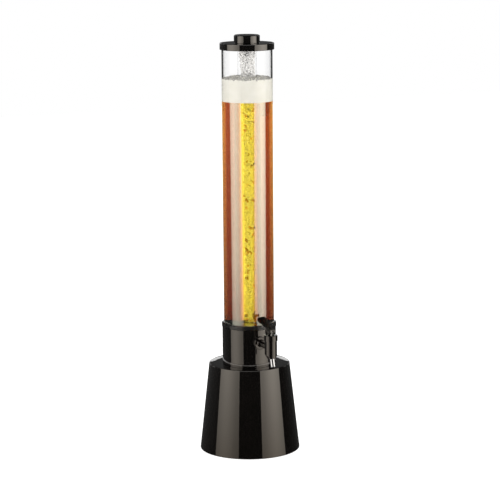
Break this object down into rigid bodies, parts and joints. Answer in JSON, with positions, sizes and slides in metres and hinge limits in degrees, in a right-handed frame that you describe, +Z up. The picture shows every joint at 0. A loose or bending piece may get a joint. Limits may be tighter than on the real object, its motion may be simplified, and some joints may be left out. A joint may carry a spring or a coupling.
{
  "type": "beer tower dispenser",
  "caption": "Tall clear drink tower on a black conical stand, with a black tap collar and lever tap, a lift-off lid and a capped ice tube hanging inside.",
  "frame": {"origin": "on the tower's axis, in the plane that the four rubber pads stand on", "axes": "+Z up along the tower's axis; the tap points to -Y and its shank lies in the plane X = 0; +X is to the right seen from the tap's side"},
  "size_m": [0.1996, 0.2232, 0.8305],
  "materials": {
    "black_abs": "polished moulded ABS",
    "clear_acrylic": "clear extruded acrylic",
    "silicone": "translucent silicone",
    "pad_rubber": "matt black rubber",
    "steel": "stainless steel",
    "chrome": "bright plated",
    "acetal": "natural acetal"
  },
  "bodies": {
    "tower": {"base_shell": "black_abs", "rubber_pads": "pad_rubber", "collar": "black_abs", "collar_floor": "black_abs", "collar_screws": "steel", "tube_gasket": "silicone", "tower_tube": "clear_acrylic", "foot_ring": "clear_acrylic", "tap_body": "black_abs", "outer_washer": "pad_rubber", "inner_washer": "silicone", "tap_nut": "black_abs", "tap_bonnet": "black_abs", "spout_sleeve": "chrome", "plunger_spring": "steel"},
    "plunger": {"plunger_stem": "acetal", "piston_ring": "pad_rubber", "valve_rubber": "silicone"},
    "lever": {"lever": "black_abs", "lever_pin": "steel"},
    "lid": {"lid": "black_abs", "lid_seal": "silicone"},
    "ice_tube": {"ice_tube": "clear_acrylic", "ice_tube_plug": "clear_acrylic", "neck_ring": "black_abs"},
    "ice_cap": {"ice_cap": "black_abs", "cap_gasket": "silicone"}
  },
  "joints": [
    {"name": "plunger_lift", "type": "slide", "parent": "tower", "child": "plunger", "axis": [0, 0, 1], "range_m": [0, 0.003], "stiffness_N_per_m": 1500, "springref_m": -0.004, "deforming": ["plunger_spring"]},
    {"name": "lever_pull", "type": "hinge", "parent": "plunger", "child": "lever", "pos_m": [0, -0.108, 0.2585], "axis": [1, 0, 0], "range_deg": [0, 75]},
    {"name": "lid_lift", "type": "slide", "parent": "tower", "child": "lid", "axis": [0, 0, 1], "range_m": [0, 0.6]},
    {"name": "ice_tube_lift", "type": "slide", "parent": "lid", "child": "ice_tube", "axis": [0, 0, 1], "range_m": [0, 0.6]},
    {"name": "ice_cap_lift", "type": "slide", "parent": "ice_tube", "child": "ice_cap", "axis": [0, 0, 1], "range_m": [0, 0.04]}
  ],
  "couplings": [
    {"joint": "lever_pull", "follows": "plunger_lift", "rad_per_m": 436.33}
  ]
}
